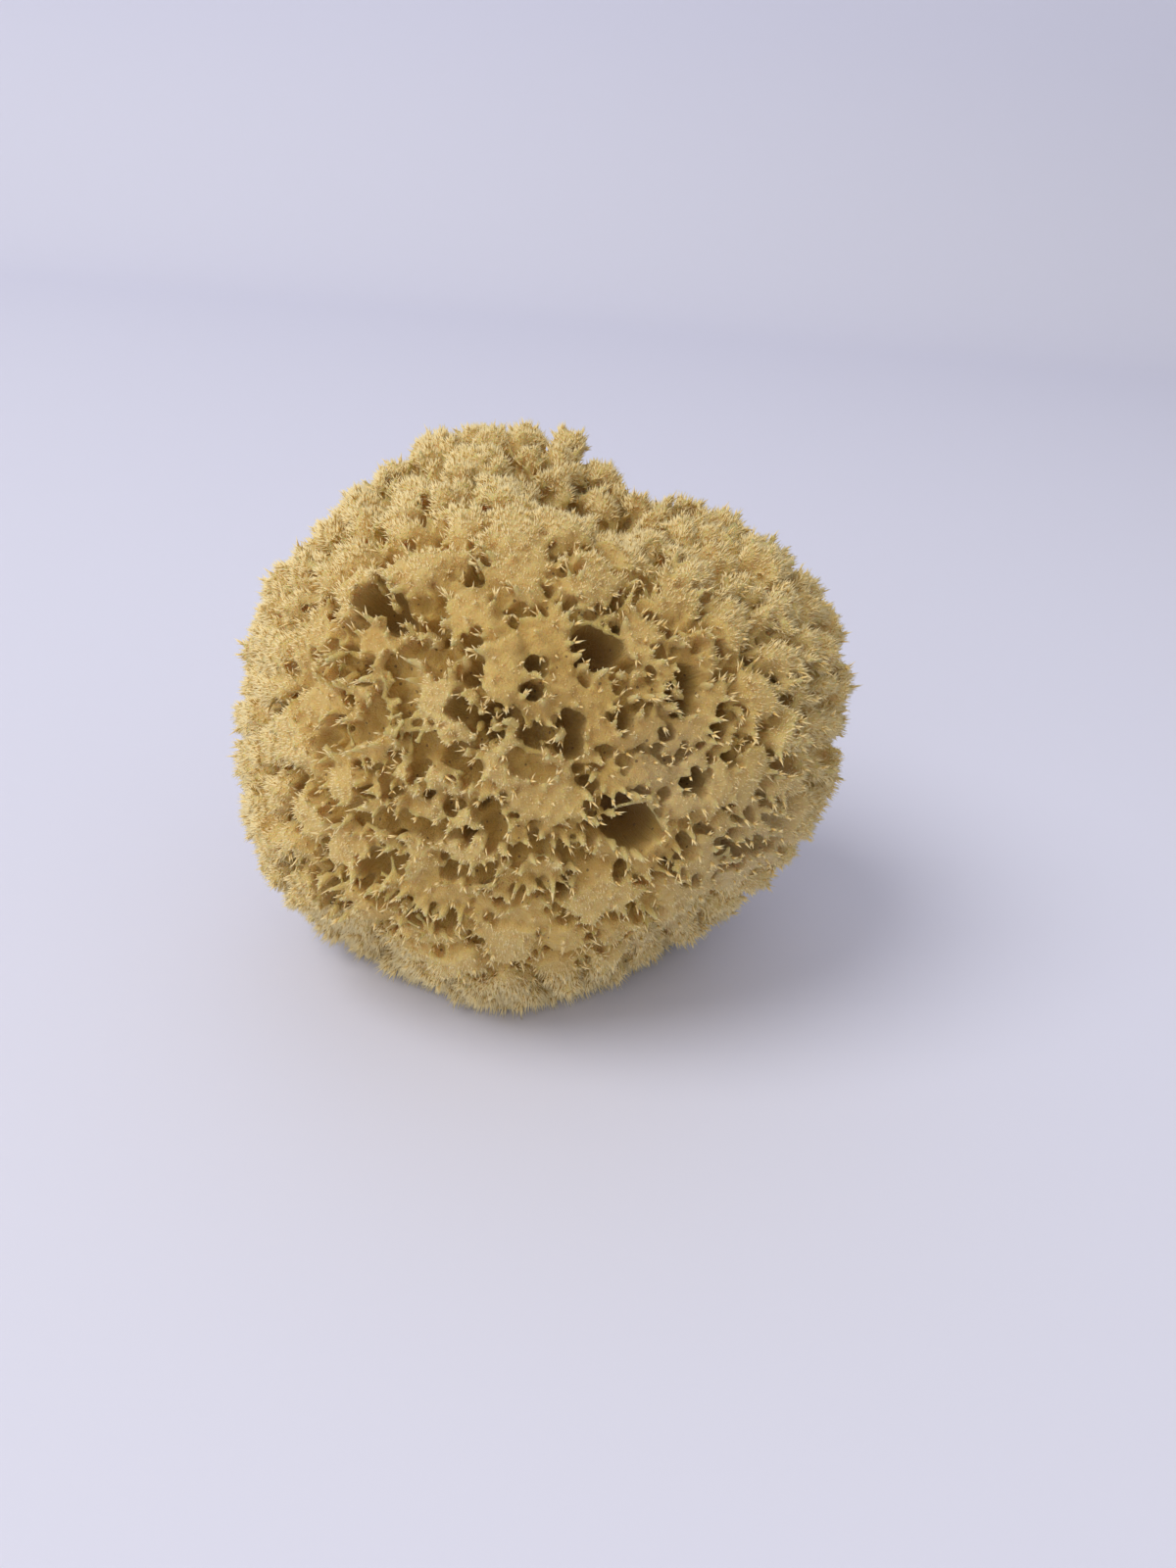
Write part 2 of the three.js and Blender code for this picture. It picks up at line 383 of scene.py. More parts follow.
def more(taken, points, square, radius, depth, touch, quota):
    """Adds pores at points one by one, up to a quota. Each keeps touch times the two radii, or more,
    between its middle and those of the ones before."""
    at, axis, rad, deep = (list(t) for t in taken)
    places = np.array(at + [np.zeros(3)] * quota)
    radii = np.array(rad + [0.0] * quota)
    count, first = len(at), len(at)
    for p, n, r, d, t in zip(points, square, radius, depth, np.broadcast_to(touch, len(points))):
        gaps = np.linalg.norm(places[:count] - p, axis=1) - (radii[:count] + r) * t
        if gaps.min() < 0:
            continue
        places[count], radii[count] = p, r
        at.append(p)
        axis.append(n)
        rad.append(r)
        deep.append(d)
        count += 1
        if count - first >= quota:
            break
    return [np.array(t) for t in (at, axis, rad, deep)]


def face_share(points):
    """1 in the middle of the broad face, where the pores are widest, and 0 round the sides and back."""
    turned = np.degrees(np.arccos(np.clip((unit(points - HEART) * FACE_MIDDLE).sum(1), -1, 1)))
    return np.clip((57 - turned) / 18, 0, 1)


def patch(points, turn, tilt, reach):
    """1 in the middle of a round patch of the skin, fading to 0 at its reach in degrees."""
    turned = np.degrees(np.arccos(np.clip((unit(points - HEART) * outward(turn, tilt)).sum(1), -1, 1)))
    return np.clip(1.4 * (1 - turned / reach), 0, 1)


def worn_share(points):
    """1 where the skin has been rubbed smooth and grey: low on the right, with two spots higher up."""
    spots = [
        patch(points, 47, -6, 22),
        0.8 * patch(points, 27, 17, 13),
        0.8 * patch(points, 40, -34, 20),
    ]
    return np.max(spots, axis=0)


def tuft_middles():
    """Where the tufts' middles lie: close together round the sides, wider apart on the broad face."""
    spots, _ = scatter(mass_co, mass_no, mass_tri, 9000)
    pitch = TUFT_PITCH[0] + (TUFT_PITCH[1] - TUFT_PITCH[0]) * face_share(spots)
    return spots[spaced(spots, pitch)]


def nearest_two(points, middles):
    """How far points are from the nearest middle and from the next, and which two those are."""
    far_two, which_two = np.empty((len(points), 2)), np.empty((len(points), 2), int)
    batch = 3000  # points at a time, to spare memory
    for k in range(0, len(points), batch):
        far = np.linalg.norm(points[k : k + batch, None] - middles[None], axis=2)
        two = np.argpartition(far, 1, axis=1)[:, :2]
        gaps = np.take_along_axis(far, two, 1)
        order = np.argsort(gaps, axis=1)
        far_two[k : k + batch] = np.take_along_axis(gaps, order, 1)
        which_two[k : k + batch] = np.take_along_axis(two, order, 1)
    return (*far_two.T, *which_two.T)


def wander(points):
    """Slow sideways drifts, which make the tufts' borders crooked."""
    x, y, z = (points / MM).T
    return MM * np.stack([
        1.2 * np.sin(0.71 * y + 0.4 * z) + 0.5 * np.sin(1.9 * z - 1.1 * x),
        1.2 * np.sin(0.66 * z - 0.5 * x + 2) + 0.5 * np.sin(1.7 * x + 1.3 * y),
        1.2 * np.sin(0.74 * x + 0.3 * y + 4) + 0.5 * np.sin(1.8 * y - 1.2 * z),
    ], 1)


def families():
    """Which family each tuft is of. Some join the tuft beside them, more of them on the broad face."""
    beside = nearest_two(tufts, tufts)[3]
    family = np.arange(len(tufts))
    joins = rng.random(len(tufts)) < 0.4 + 0.3 * face_share(tufts)
    for i in np.where(joins)[0]:
        family[i] = family[beside[i]]
    return family


tufts = tuft_middles()
family = families()
FAMILY_DIP = 3.2 * MM  # tufts of one family meet as if their furrow lay this much further off


def seams(points):
    """How far points are from the furrow between their tuft and the next, and which tuft is theirs.
    Tufts of one family stand together, with only a dip between them."""
    first, second, which, other = nearest_two(points + wander(points), tufts)
    return second - first + FAMILY_DIP * (family[which] == family[other]), which


tuft_axis = grown(tufts, np.array([mass_tree.find_nearest(Vector(p))[1] for p in tufts]))
tuft_side, tuft_over = side_of(tuft_axis, rng.uniform(0, TURN, len(tufts)))
tuft_ribs = np.round(rng.uniform(9, 12, len(tufts)) + 4 * face_share(tufts))
tuft_phase = rng.uniform(0, TURN, len(tufts))


def ribs(points, which):
    """1 on the crest of each rib that runs down a tuft from its middle, and 0 in the groove between
    two, with how far each point is from the tuft's axis."""
    off = points - tufts[which]
    x, y = (off * tuft_side[which]).sum(1), (off * tuft_over[which]).sum(1)
    turn, far, phase = np.arctan2(y, x), np.hypot(x, y), tuft_phase[which]
    wave = np.cos(
        tuft_ribs[which] * turn + 1.5 * np.sin(2 * turn + phase) + 0.9 * np.sin(far / MM + phase)
    )
    return 1 - np.sqrt(0.5 - 0.5 * wave), far


def dome_tufts(co, no):
    """Each tuft is a ribbed peak round the sides and a low ribbed mound on the broad face."""
    seam, which = seams(co)
    broad = face_share(co)
    rise = np.clip(seam / ((6.4 - 1.4 * broad) * MM), 0, 1)
    own = rng.uniform(-1.4, 0.6, len(tufts))[which]
    crest, far = ribs(co, which)
    furrow, groove = 6.2 - 3.8 * broad, 1.3 - 0.3 * broad  # how deep, in mm
    lower = furrow * (1 - rise) ** 1.4 - own * rise
    lower += groove * (1 - crest) * np.clip(far / (2.2 * MM), 0, 1) * (1 - rise) ** 0.5
    lower *= np.clip(co[:, 2] / (6 * MM) - 0.3, 0, 1) * (1 - 0.6 * worn_share(co))
    return co - no * (lower * MM)[:, None]


first_skin = mass_tree  # even over the furrows: depths are told from here
put(mass, dome_tufts(mass_co, mass_no))
mass_co, mass_no = coords(mass), normals(mass)
mass_tree = BVHTree.FromPolygons(mass_co.tolist(), mass_tri.tolist())


def layout():
    """The place, axis, radius and depth of every pore: the named ones, then random ones round them."""
    spots, square = scatter(mass_co, mass_no, mass_tri, 30000)
    seam, _ = seams(spots)
    axis = grown(spots, square)
    above_base = spots[:, 2] > 5 * MM
    hidden = (unit(spots - HEART) * FACE).sum(1) < HIDDEN
    broad = face_share(spots)
    taken = named
    # wide pores of the sides and back
    pick = np.where(hidden & above_base & (seam < 4 * MM))[0]
    r = rng.uniform(2.4, 5.0, len(pick)) * MM
    taken = more(taken, spots[pick], axis[pick], r, rng.uniform(9, 22, len(pick)) * MM, 2.0, 40)
    # medium scoops along the furrows of the broad face, few off it
    pick = np.where(above_base & (seam < 1.6 * MM) & (rng.random(len(spots)) < 0.06 + 0.45 * broad))[0]
    r = (1.0 + 1.3 * rng.random(len(pick)) ** 1.6) * MM
    deep = r * rng.uniform(1.1, 2.2, len(pick)) + 0.8 * MM
    taken = more(taken, spots[pick], axis[pick], r, deep, 0.98, 500)
    # small scoops near the furrows, all the way round
    pick = np.where(above_base & (seam < 4.0 * MM) & (rng.random(len(spots)) < 0.10 + 0.05 * broad))[0]
    r = (0.65 + 0.7 * rng.random(len(pick)) ** 1.8) * MM
    deep = r * rng.uniform(1.4, 3.0, len(pick)) + 0.6 * MM
    taken = more(taken, spots[pick], axis[pick], r, deep, 1.15, 600)
    # canal mouths of the cut base
    pick = np.where((spots[:, 2] < 1.5 * MM) & (square[:, 2] < -0.9))[0]
    r = (0.8 + 3.0 * rng.random(len(pick)) ** 3) * MM
    down = np.tile([0, 0, -1.0], (len(pick), 1))
    return more(taken, spots[pick], down, r, r * rng.uniform(2.0, 4.0, len(pick)), 1.25, 120)


pore_at, pore_axis, pore_r, pore_deep = layout()


FLUTE_PITCH = 2.4 * MM  # from one gouge to the next round a rim


def flutes():
    """Shallow gouges round the rims of the pores, which leave a point between each and the next. Those
    that would open well inside another pore are left out."""
    at, axis, rad, deep = [], [], [], []
    for p, n, r, d in zip(pore_at, pore_axis, pore_r, pore_deep):
        if n[2] < -0.95:
            continue
        count = int(2 * math.pi * r / FLUTE_PITCH)
        x, y = (v[0] for v in side_of(n[None], np.array([rng.uniform(0, TURN)])))
        for k in range(count):
            a = 2 * math.pi * (k + rng.uniform(-0.3, 0.3)) / count
            if rng.random() < 0.15:
                continue
            gouge = rng.uniform(0.7, 1.25) * MM
            out = (x * math.cos(a) + y * math.sin(a)) * (r + gouge * rng.uniform(-0.35, 0.2))
            at.append(p + out)
            axis.append(n)
            rad.append(gouge)
            deep.append(min(d * 0.8, rng.uniform(2.2, 5.0) * MM))
    clear = np.array([
        (np.linalg.norm(pore_at - p, axis=1) > pore_r - 0.25 * gouge).all() for p, gouge in zip(at, rad)
    ])
    return [np.array(values)[clear] for values in (at, axis, rad, deep)]


cut_at, cut_axis, cut_r, cut_deep = gather((pore_at, pore_axis, pore_r, pore_deep), flutes())


# ------------------------------------------------------------------ carving
def pore_cutter(sides):
    """A round-ended plug, 1 deep below the origin and 1 in radius, its waist a little fuller than its
    mouth."""
    bpy.ops.object.select_all(action="DESELECT")
    rings = 8
    bpy.ops.mesh.primitive_uv_sphere_add(segments=sides, ring_count=rings, radius=1)
    plug = bpy.context.object
    co = coords(plug)
    z = co[:, 2]
    around = np.hypot(co[:, 0], co[:, 1])
    ring = np.round(np.arccos(np.clip(z, -1, 1)) / math.pi * rings).astype(int)
    heights = np.array([0.45, 0.4, 0.15, -0.1, -0.35, -0.58, -0.78, -0.93, -1.0])
    widths = np.array([0, 1.06, 1.0, 0.98, 1.04, 1.0, 0.84, 0.5, 0])
    scale = np.where(around > 1e-6, widths[ring] / np.maximum(around, 1e-6), 0)
    co = np.stack([co[:, 0] * scale, co[:, 1] * scale, heights[ring]], 1)
    put(plug, co)
    return plug


def carve():
    """Takes a plug out of the mass at every pore and gouge, all in one cut."""
    plug = pore_cutter(12)
    spin = rng.uniform(0, TURN, len(cut_at))
    cutters, _ = copies("cutters", plug, cut_at, cut_axis, spin, cut_r, cut_deep)
    discard(plug)
    apply(cutters, "REMESH", mode="VOXEL", voxel_size=0.5 * MM)
    only(mass)
    modifier = mass.modifiers.new("carve", "BOOLEAN")
    modifier.operation = "DIFFERENCE"
    modifier.solver = "MANIFOLD"
    modifier.object = cutters
    bpy.ops.object.modifier_apply(modifier=modifier.name)
    discard(cutters)


carve()


# ------------------------------------------------------------------ the points that stand on the tufts
def tree_of(points):
    """A tree that finds the points near a place."""
    tree = KDTree(len(points))
    for i, p in enumerate(points):
        tree.insert(p, i)
    tree.balance()
    return tree


WIDE = 2.2 * MM  # pores above this radius are few, so they are looked at one by one
wide = cut_r > WIDE
small_tree, small_r = tree_of(cut_at[~wide]), cut_r[~wide]


def standing(spots, margin, room=0):
    """True where a place on the skin isn't over a pore, or within room of its rim."""
    keep = np.ones(len(spots), bool)
    for p, r in zip(cut_at[wide], cut_r[wide]):
        keep &= np.linalg.norm(spots - p, axis=1) > r * margin + room
    for k in np.where(keep)[0]:
        near = small_tree.find_range(spots[k], WIDE * margin + room)
        keep[k] = all(far > small_r[i] * margin + room for _, i, far in near)
    return keep


def corners():
    """The places left standing where two pores' mouths cross, and the way each one leans."""
    small, big = np.where(~wide)[0], np.where(wide)[0]
    pairs = [
        (i, small[k])
        for i in range(len(cut_at))
        for _, k, _ in small_tree.find_range(cut_at[i], cut_r[i] + WIDE)
        if wide[i] or i < small[k]
    ]
    i, j = np.array(pairs + list(itertools.combinations(big, 2))).T
    d = np.linalg.norm(cut_at[i] - cut_at[j], axis=1)
    lap = (d < cut_r[i] + cut_r[j]) & (d > np.abs(cut_r[i] - cut_r[j]) + 1e-5)
    i, j, d = i[lap], j[lap], d[lap]
    along = (cut_at[j] - cut_at[i]) / d[:, None]
    a = (cut_r[i] ** 2 - cut_r[j] ** 2 + d * d) / (2 * d)
    h = np.sqrt(np.maximum(cut_r[i] ** 2 - a * a, 0))
    up = unit(cut_axis[i] + cut_axis[j])
    across = unit(np.cross(up, along))
    mid = cut_at[i] + along * a[:, None]
    spots = np.concatenate([mid + across * h[:, None], mid - across * h[:, None]])
    lean = np.concatenate([-across, across])
    up = np.concatenate([up, up])
    keep = standing(spots, 0.96)
    return spots[keep], up[keep], lean[keep]


def thorn_pattern(sides, heights, widths):
    """A tapering thorn, 1 tall and 1 in radius at its foot, its foot closed."""
    bpy.ops.object.select_all(action="DESELECT")
    bpy.ops.mesh.primitive_cone_add(
        vertices=sides, radius1=widths[0], radius2=0, depth=1, end_fill_type="NGON"
    )
    thorn = bpy.context.object
    bpy.ops.object.mode_set(mode="EDIT")
    bpy.ops.mesh.select_all(action="SELECT")
    bpy.ops.transform.translate(value=(0, 0, 0.5))
    for z in heights[1:-1]:
        bpy.ops.mesh.select_all(action="SELECT")
        bpy.ops.mesh.bisect(plane_co=(0, 0, z), plane_no=(0, 0, 1))
    bpy.ops.object.mode_set(mode="OBJECT")
    co = coords(thorn)
    around = np.hypot(co[:, 0], co[:, 1])
    want = np.interp(co[:, 2], heights, widths)
    co[:, :2] *= np.where(around > 1e-6, want / np.maximum(around, 1e-6), 0)[:, None]
    put(thorn, co)
    return thorn


def point_places():
    """Where the tufts' points stand: at every corner first, then all over what is left of the skin."""
    at, up, lean = corners()
    order = rng.permutation(len(at))
    at, up, lean = at[order], up[order], lean[order]
    keep = spaced(at, (1.5 + 0.5 * face_share(at)) * MM)
    at, up, lean = at[keep], up[keep], lean[keep]
    spots, square = scatter(mass_co, mass_no, mass_tri, 26000)
    seam, which = seams(spots)
    broad = face_share(spots)
    crest, _ = ribs(spots, which)
    free = (crest > 0.55 - 0.3 * broad) & (seam > 1.6 * MM * (1 - broad)) & (spots[:, 2] > 3 * MM)
    spots, square, broad = spots[free], square[free], broad[free]
    free = standing(spots, 1.0, 0.2 * MM)
    spots, square = spots[free], square[free]
    both = np.concatenate([at, spots])
    keep = spaced(both, (1.7 + 0.5 * face_share(both)) * MM)
    keep = keep[keep >= len(at)] - len(at)
    others = len(keep)
    corner = np.concatenate([np.ones(len(at)), np.zeros(others)])
    at = np.concatenate([at, spots[keep]])
    up = np.concatenate([up, grown(spots[keep], square[keep])])
    lean = np.concatenate([lean, unit(rng.normal(0, 1, (others, 3)))])
    seam, _ = seams(at)
    high = (at[:, 2] > 4 * MM) & (seam > 1.4 * MM * (1 - face_share(at)))
    return at[high], up[high], lean[high], corner[high]


def fan_out(points, axis, wide):
    """Directions that spread away from the middle of each point's tuft, as far as wide allows."""
    _, which = seams(points)
    off = points - tufts[which]
    off -= axis * (off * axis).sum(1, keepdims=True)
    return off / np.maximum(np.linalg.norm(off, axis=1, keepdims=True), wide)


point_at, point_up, point_lean, point_corner = point_places()
point_count = len(point_at)
# how far each stands out: neighbours share a slow swell, so tufts are peaked and uneven
swell = np.sin(point_at[:, 0] * 410 + 2 * np.sin(point_at[:, 1] * 300))
swell *= np.cos(point_at[:, 2] * 370 + point_at[:, 1] * 290)
point_broad, point_worn = face_share(point_at), worn_share(point_at)
point_rise = 1.5 + 0.3 * swell + 1.3 * rng.random(point_count) ** 1.5 + 0.2 * point_corner
point_rise = (point_rise - point_broad * (0.6 - 0.5 * point_corner)) * (1 - 0.5 * point_worn) * MM
point_axis = unit(
    point_up
    + point_lean * (0.12 + 0.3 * point_corner * rng.random(point_count))[:, None]
    + 0.22 * fan_out(point_at, point_up, 4 * MM)
    + rng.normal(0, 0.08, (point_count, 3))
)
FOOT = 2.2 * MM  # how far a point's foot reaches into the mass


def studs():
    """Blunt cones that the skin is fused over: the broad feet of the tufts' points."""
    stud = thorn_pattern(7, [0, 0.5, 0.78, 1.0], [1.0, 0.7, 0.36, 0.14])
    made, _ = copies(
        "studs", stud,
        point_at - point_axis * FOOT - point_lean * (0.5 * MM * point_corner)[:, None], point_axis,
        rng.uniform(0, TURN, point_count), rng.uniform(0.75, 1.1, point_count) * MM, point_rise + FOOT,
    )
    discard(stud)
    return made


def bridges():
    """Strands of the skeleton that cross the mouths of pores, just under their rims."""
    wide_enough = np.where((pore_r > 1.9 * MM) & (pore_axis[:, 2] > -0.9))[0]
    count = np.where(pore_r[wide_enough] > 3 * MM, 2, rng.random(len(wide_enough)) < 0.35).astype(int)
    pick = np.repeat(wide_enough, count)
    m = len(pick)
    x, y = side_of(pore_axis[pick], rng.uniform(0, TURN, m))
    apart = rng.uniform(0.45, 0.95, m)[:, None]  # half the angle that the strand spans round the rim
    reach = pore_r[pick, None] * 1.1
    under = pore_axis[pick] * rng.uniform(0.6, 2.6, m)[:, None] * MM
    start = pore_at[pick] + (x * np.cos(apart) - y * np.sin(apart)) * reach - under
    end = pore_at[pick] + (x * np.cos(apart) + y * np.sin(apart)) * reach - under
    end = end + rng.normal(0, 0.5, (m, 3)) * MM
    strand = thorn_pattern(5, [0, 0.15, 0.5, 0.85, 1.0], [1.7, 1.0, 0.72, 1.0, 1.7])
    length = np.linalg.norm(end - start, axis=1)
    made, _ = copies(
        "bridges", strand, start, unit(end - start),
        rng.uniform(0, TURN, m), rng.uniform(0.42, 0.62, m) * MM, length,
    )
    discard(strand)
    return made


def fused():
    """The carved mass with its points and strands, remade as one closed skin."""
    pieces = [studs(), bridges()]
    bpy.ops.object.select_all(action="DESELECT")
    for ob in pieces + [mass]:
        ob.select_set(True)
    bpy.context.view_layer.objects.active = mass
    bpy.ops.object.join()
    mass.name = mass.data.name = "skin"
    apply(mass, "REMESH", mode="VOXEL", voxel_size=VOXEL)
    keep_one_piece(mass)
    return mass


skin = fused()


# ------------------------------------------------------------------ the skin's finish
def below(points):
    """How far points lie under the mass's first skin, in mm. Points outside it count as below 0."""
    deep = np.empty(len(points))
    for i, p in enumerate(points):
        spot, normal, _, far = first_skin.find_nearest(Vector(p))
        deep[i] = -far if (Vector(p) - spot).dot(normal) > 0 else far
    return deep / MM


def combed(points, gap):
    """Noise from 0 to 1 that stays the same along each line from the heart: it gives grains on the
    tops and ribs down the sides."""
    span = 2.2  # the lattice of directions runs from -1.1 to 1.1
    cells = int(span * 60 * MM / gap)
    lattice = rng.random((cells + 2,) * 3)
    place = (unit(points - HEART) + span / 2) / span * cells
    low = np.floor(place).astype(int)
    share = place - low
    share = share * share * (3 - 2 * share)
    total = np.zeros(len(points))
    for corner in itertools.product((0, 1), repeat=3):
        weight = np.prod(np.where(corner, share, 1 - share), axis=1)
        total += weight * lattice[tuple((low + corner).T)]
    return total


def finish_skin():
    """Smooths the skin a little, roughens its tops and thins it to the faces that it may have."""
    apply(skin, "SMOOTH", factor=0.4, iterations=1)
    co, no = coords(skin), normals(skin)
    facing = (no * unit(co - HEART)).sum(1)
    rough = 0.7 * combed(co, 2.2 * MM) ** 1.5 + 0.8 * combed(co, 1.15 * MM) ** 1.3 - 0.6
    tops = 0.35 + 0.75 * np.clip(1.6 * facing - 0.5, 0, 1)
    rough *= tops * MM * (1 - 0.5 * worn_share(co)) * np.clip(co[:, 2] / (3 * MM), 0, 1)
    put(skin, co + no * rough[:, None])
    share = SKIN_FACES / len(triangles(skin))
    apply(skin, "DECIMATE", ratio=min(1.0, share), use_collapse_triangulate=True)


finish_skin()
skin_co, skin_no, skin_tri = coords(skin), normals(skin), triangles(skin)
skin_deep = below(skin_co)


def painted_depth_shade(deep, broad):
    """How much a depth darkens the finish as painted shade: in full on the broad face, by a fifth round
    the sides.
    """
    return deep * (0.2 + 0.8 * broad)


skin_broad = face_share(skin_co)
# the depth that the finish reads: painted shade that darkens pores and furrows over the sponge's own
# ochre, and an offset that paints the sides and crown paler, partly their own paler colour and partly
# painted light from above
paint(skin, "deep", painted_depth_shade(skin_deep, skin_broad) - 1.5 * (1 - skin_broad))
paint(skin, "worn", worn_share(skin_co))
skin_tree = BVHTree.FromPolygons(skin_co.tolist(), skin_tri.tolist())


def halves(whole):
    """The front and the back of the skin, each closed where they meet, with half the faces."""
    cut = float(np.median(coords(whole)[:, 1]))
    made = []
    for name, side in (("skin_front", -1), ("skin_back", 1)):
        # a block far larger than the sponge, with one face on the cut
        bpy.ops.object.select_all(action="DESELECT")
        bpy.ops.mesh.primitive_cube_add(size=1, location=(0, cut + side * 0.5, 0.05))
        bpy.ops.object.transform_apply(location=True)
        block = bpy.context.object
        half = whole.copy()
        half.data = whole.data.copy()
        half.name = half.data.name = name
        bpy.context.collection.objects.link(half)
        apply(half, "BOOLEAN", operation="INTERSECT", solver="MANIFOLD", object=block)
        discard(block)
        only(half)
        bpy.ops.object.shade_smooth()
        made.append(half)
    discard(whole)
    return made


skins = halves(skin)


# ------------------------------------------------------------------ fine tips
def claws():
    """The pale claws that end the tufts' points: one at each, then more beside most of them."""
    claw = thorn_pattern(4, [0, 0.5, 1.0], [1.0, 0.5, 0])
    rows = np.concatenate([np.arange(point_count), rng.choice(point_count, CLAWS - point_count)])
    fan = (np.arange(len(rows)) >= point_count).astype(float)
    m = len(rows)
    axis = unit(point_axis[rows] + rng.normal(0, 1, (m, 3)) * (0.10 + 0.24 * fan)[:, None])
    foot = point_at[rows] + point_axis[rows] * (point_rise[rows] * (0.35 - 0.3 * fan))[:, None]
    length = point_rise[rows] * 0.65 + rng.uniform(0.3, 0.9, m) * MM
    held = np.array([skin_tree.find_nearest(Vector(p))[3] for p in foot]) < 0.55 * MM
    held &= (foot + axis * length[:, None])[:, 2] > 0
    rows, axis, foot, length = rows[held], axis[held], foot[held], length[held]
    m = len(rows)
    made, height = copies(
        "claws", claw, foot, axis,
        rng.uniform(0, TURN, m), rng.uniform(0.22, 0.36, m) * MM, length,
        point_lean[rows], rng.uniform(0, 0.5, m) * MM,
    )
    discard(claw)
    strand_map(made, np.repeat(rng.uniform(0.05, 0.5, m), len(height) // m), height)
    return made


def strand_map(ob, across, up):
    """A map for strands: each one's own colour across, with painted shade in it for the nap, and the way
    from its foot to its tip upwards.
    """
    corner = np.empty(len(ob.data.loops), np.int32)
    ob.data.loops.foreach_get("vertex_index", corner)
    spread = 0.02 * np.cos(corner * 2.1)  # so that no face is drawn without width
    layer = ob.data.uv_layers.new(name="OFBake")
    uv = np.stack([np.clip(across[corner] + spread, 0.01, 0.99), 0.02 + 0.96 * up[corner]], 1)
    layer.uv.foreach_set("vector", uv.astype(np.float32).ravel())


def nap(name, count):
    """Bristles all over the tufts, longer round the sides. Those by a point lean in towards its tip, so
    that they end in small brushes."""
    hair = thorn_pattern(3, [0, 1.0], [1.0, 0])
    at, up = scatter(skin_co, skin_no, skin_tri, count, nap_weight)
    deep = below(at)
    broad, worn = face_share(at), worn_share(at)
    near = np.array([point_tree.find(p)[1] for p in at])
    gap = point_at[near] + point_axis[near] * point_rise[near, None] * 1.3 - at
    gathered = np.clip(1.6 - np.linalg.norm(gap, axis=1) / (2.2 * MM), 0, 1)[:, None]
    length = (0.45 + 0.55 * rng.random(count) ** 1.5) * (2.0 - 1.0 * broad) * (1 - 0.4 * worn) * MM
    length *= 1 + 0.7 * np.clip((24 * MM - at[:, 2]) / (16 * MM), 0, 1)  # a fringe round the foot
    axis = unit(grown(at, up) + 0.55 * unit(gap) * gathered + rng.normal(0, 0.08, (count, 3)))
    # those that hang down stop short of what the sponge stands on
    room = (at[:, 2] - 0.3 * MM) / np.maximum(-axis[:, 2], 1e-6)
    length = np.minimum(length, np.maximum(room, 0.1 * MM))
    made, height = copies(
        name, hair, at - axis * 0.4 * MM, axis, rng.uniform(0, TURN, count),
        rng.uniform(0.16, 0.27, count) * MM, length + 0.4 * MM,
    )
    size = len(hair.data.vertices)
    discard(hair)
    # darker with depth as painted shade, paler off the broad face partly as painted light from above,
    # with each bristle's own random tone
    tint_and_painted_shade = 0.07 + 0.08 * broad + painted_depth_shade(deep, broad) / 5 + rng.normal(0, 0.05, count)
    strand_map(made, np.repeat(np.clip(tint_and_painted_shade, 0.03, 0.97), size), height)
    return made


def nap_weights():
    """How thickly the bristles grow at each vertex of the skin: thickest along the ribs, on the broad
    face only on the tops, and thinly where it is worn."""
    limit = 4.0 - 2.4 * skin_broad  # how deep they grow, in mm
    weight = np.clip((limit - skin_deep) / 2.0, 0, 1) * (skin_co[:, 2] > 2 * MM)
    _, which = seams(skin_co)
    weight *= 0.2 + 0.8 * ribs(skin_co, which)[0]
    facing = (skin_no * unit(skin_co - HEART)).sum(1)
    weight *= 1 - skin_broad * (1 - np.clip((facing - 0.2) / 0.4, 0, 1))
    weight *= (1 - 0.25 * skin_broad) * (1 - 0.75 * worn_share(skin_co))
    return weight


point_tree = tree_of(point_at)
nap_weight = nap_weights()
spines = [claws(), nap("nap_low", NAP), nap("nap_high", NAP)]
for ob in spines:
    only(ob)
    bpy.ops.object.shade_smooth()


# ------------------------------------------------------------------ finishes
class Finish:
    """A material with short words for its nodes."""

    def __init__(self, name):
        self.material = bpy.data.materials.new(name)
        self.material.use_nodes = True
        self.nodes = self.material.node_tree.nodes
        self.links = self.material.node_tree.links
        self.shader = self.nodes["Principled BSDF"]

    def add(self, kind, **values):
        node = self.nodes.new(kind)
        for key, value in values.items():
            if hasattr(node, key):
                setattr(node, key, value)
            else:
                node.inputs[key.replace("_", " ")].default_value = value
        return node

    def link(self, a, b):
        self.links.new(a, b)

    def maths(self, operation, a, b=None, clamp=False):
        node = self.nodes.new("ShaderNodeMath")
        node.operation = operation
        node.use_clamp = clamp
        for socket, value in zip(node.inputs, (a, b)):
            if value is None:
                continue
            if isinstance(value, (int, float)):
                socket.default_value = value
            else:
                self.link(value, socket)
        return node.outputs[0]

    def ramp(self, source, stops):
        node = self.nodes.new("ShaderNodeValToRGB")
        elements = node.color_ramp.elements
        while len(elements) < len(stops):
            elements.new(0.5)
        for element, (place, colour) in zip(elements, stops):
            element.position = place
            element.color = (*colour, 1)
        self.link(source, node.inputs[0])
        return node.outputs[0]

    def parts_of(self, vector):
        node = self.nodes.new("ShaderNodeSeparateXYZ")
        self.link(vector, node.inputs[0])
        return node.outputs

    def mix(self, a, b, amount, blend="MIX"):
        node = self.nodes.new("ShaderNodeMix")
        node.data_type = "RGBA"
        node.blend_type = blend
        for socket, value in ((node.inputs[0], amount), (node.inputs[6], a), (node.inputs[7], b)):
            if isinstance(value, (int, float)):
                socket.default_value = value
            elif isinstance(value, tuple):
                socket.default_value = (*value, 1)
            else:
                self.link(value, socket)
        return node.outputs[2]


